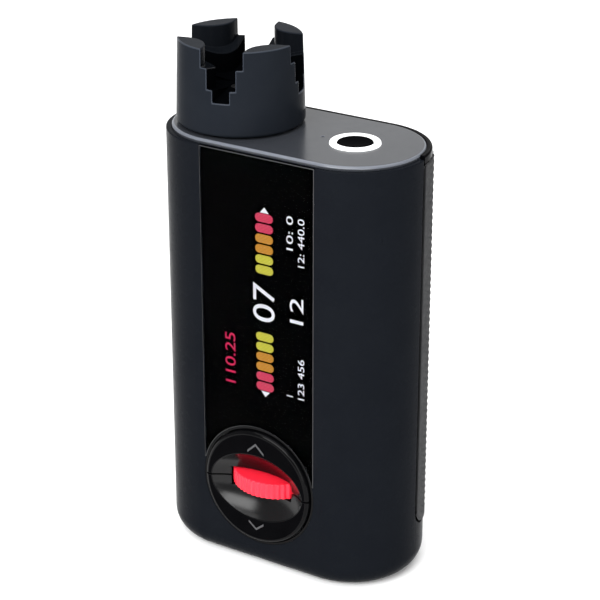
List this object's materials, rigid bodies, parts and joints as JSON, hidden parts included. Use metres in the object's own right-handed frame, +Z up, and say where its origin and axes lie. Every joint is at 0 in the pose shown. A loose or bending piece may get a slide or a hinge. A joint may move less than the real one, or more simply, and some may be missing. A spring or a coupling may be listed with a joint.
{
  "type": "motorised peg turner and tuner",
  "caption": "Handheld motorised peg turner and tuner with an oval body, glass display, thumb wheel between dial buttons, lit power button and a cross-slotted rotating peg socket.",
  "frame": {"origin": "centre of the flat underside of the body", "axes": "+Z up the body towards the peg socket; the display faces -Y; +X to the right seen from the front"},
  "size_m": [0.0572, 0.032, 0.1088],
  "materials": {
    "shell": "satin black moulding",
    "grip": "ribbed soft-touch",
    "cap": "fine matt grey",
    "glass": "polished",
    "display": "gloss",
    "dial": "polished black",
    "wheel": "satin red",
    "light": "translucent white",
    "steel": "brushed",
    "brass": "machined",
    "board": "solder mask",
    "chip": "moulded",
    "cell": "shrink sleeve",
    "seal": "soft"
  },
  "bodies": {
    "housing": {"front_housing": "shell", "back_cover": "shell", "grip_pad": "grip", "top_cap": "cap", "cover_screws": "steel", "display_glass": "glass", "display_panel": "display", "display_bracket": "steel", "display_flex": "brass", "dial_bezel": "dial", "button_switches": "steel", "control_board": "board", "wheel_bracket": "steel", "wheel_encoder": "chip", "light_ring": "light", "power_switch": "steel", "status_lights": "light", "top_board": "board", "microphone": "brass", "microphone_seal": "seal", "vibration_sensor": "brass", "shaft_bush": "brass", "output_bearing": "steel", "second_gear_pin": "steel", "first_gear_pin": "steel", "lower_plate": "steel", "upper_plate": "steel", "plate_pillars": "steel", "motor": "steel", "motor_screws": "steel", "main_board": "board", "board_chips": "chip", "board_screws": "steel", "battery": "cell", "battery_cradle": "chip", "charging_port": "steel", "charging_board": "board"},
    "peg_drive": {"peg_socket": "shell", "socket_screw": "steel", "output_shaft": "steel", "shaft_clip": "steel", "output_gear": "brass"},
    "second_gear_cluster": {"second_gear": "brass"},
    "first_gear_cluster": {"first_gear": "brass"},
    "motor_rotor": {"motor_shaft": "steel", "motor_pinion": "brass"},
    "wheel_assembly": {"scroll_wheel": "wheel", "wheel_axle": "steel"},
    "upper_dial_button": {"upper_button": "dial"},
    "lower_dial_button": {"lower_button": "dial"},
    "power_key": {"power_button": "dial"}
  },
  "joints": [
    {"name": "socket_spin", "type": "hinge", "parent": "housing", "child": "peg_drive", "pos_m": [-0.01325, 0, 0.0917], "axis": [0, 0, 1], "continuous": true},
    {"name": "second_gear_spin", "type": "hinge", "parent": "housing", "child": "second_gear_cluster", "pos_m": [-0.00175, 0, 0.073], "axis": [0, 0, 1], "continuous": true},
    {"name": "first_gear_spin", "type": "hinge", "parent": "housing", "child": "first_gear_cluster", "pos_m": [-0.01325, 0, 0.07], "axis": [0, 0, 1], "continuous": true},
    {"name": "motor_spin", "type": "hinge", "parent": "housing", "child": "motor_rotor", "pos_m": [-0.00175, 0, 0.069], "axis": [0, 0, 1], "continuous": true},
    {"name": "wheel_spin", "type": "hinge", "parent": "housing", "child": "wheel_assembly", "pos_m": [0, -0.007, 0.0192], "axis": [0, 0, 1], "continuous": true},
    {"name": "upper_button_press", "type": "slide", "parent": "housing", "child": "upper_dial_button", "axis": [0, 1, 0], "range_m": [0, 0.0004], "stiffness_N_per_m": 3000},
    {"name": "lower_button_press", "type": "slide", "parent": "housing", "child": "lower_dial_button", "axis": [0, 1, 0], "range_m": [0, 0.0004], "stiffness_N_per_m": 3000},
    {"name": "power_button_press", "type": "slide", "parent": "housing", "child": "power_key", "axis": [0, 0, -1], "range_m": [0, 0.0004], "stiffness_N_per_m": 3000}
  ],
  "couplings": [
    {"joint": "second_gear_spin", "follows": "socket_spin", "ratio": -2.8333},
    {"joint": "first_gear_spin", "follows": "socket_spin", "ratio": 10.2},
    {"joint": "motor_spin", "follows": "socket_spin", "ratio": -36.72}
  ]
}
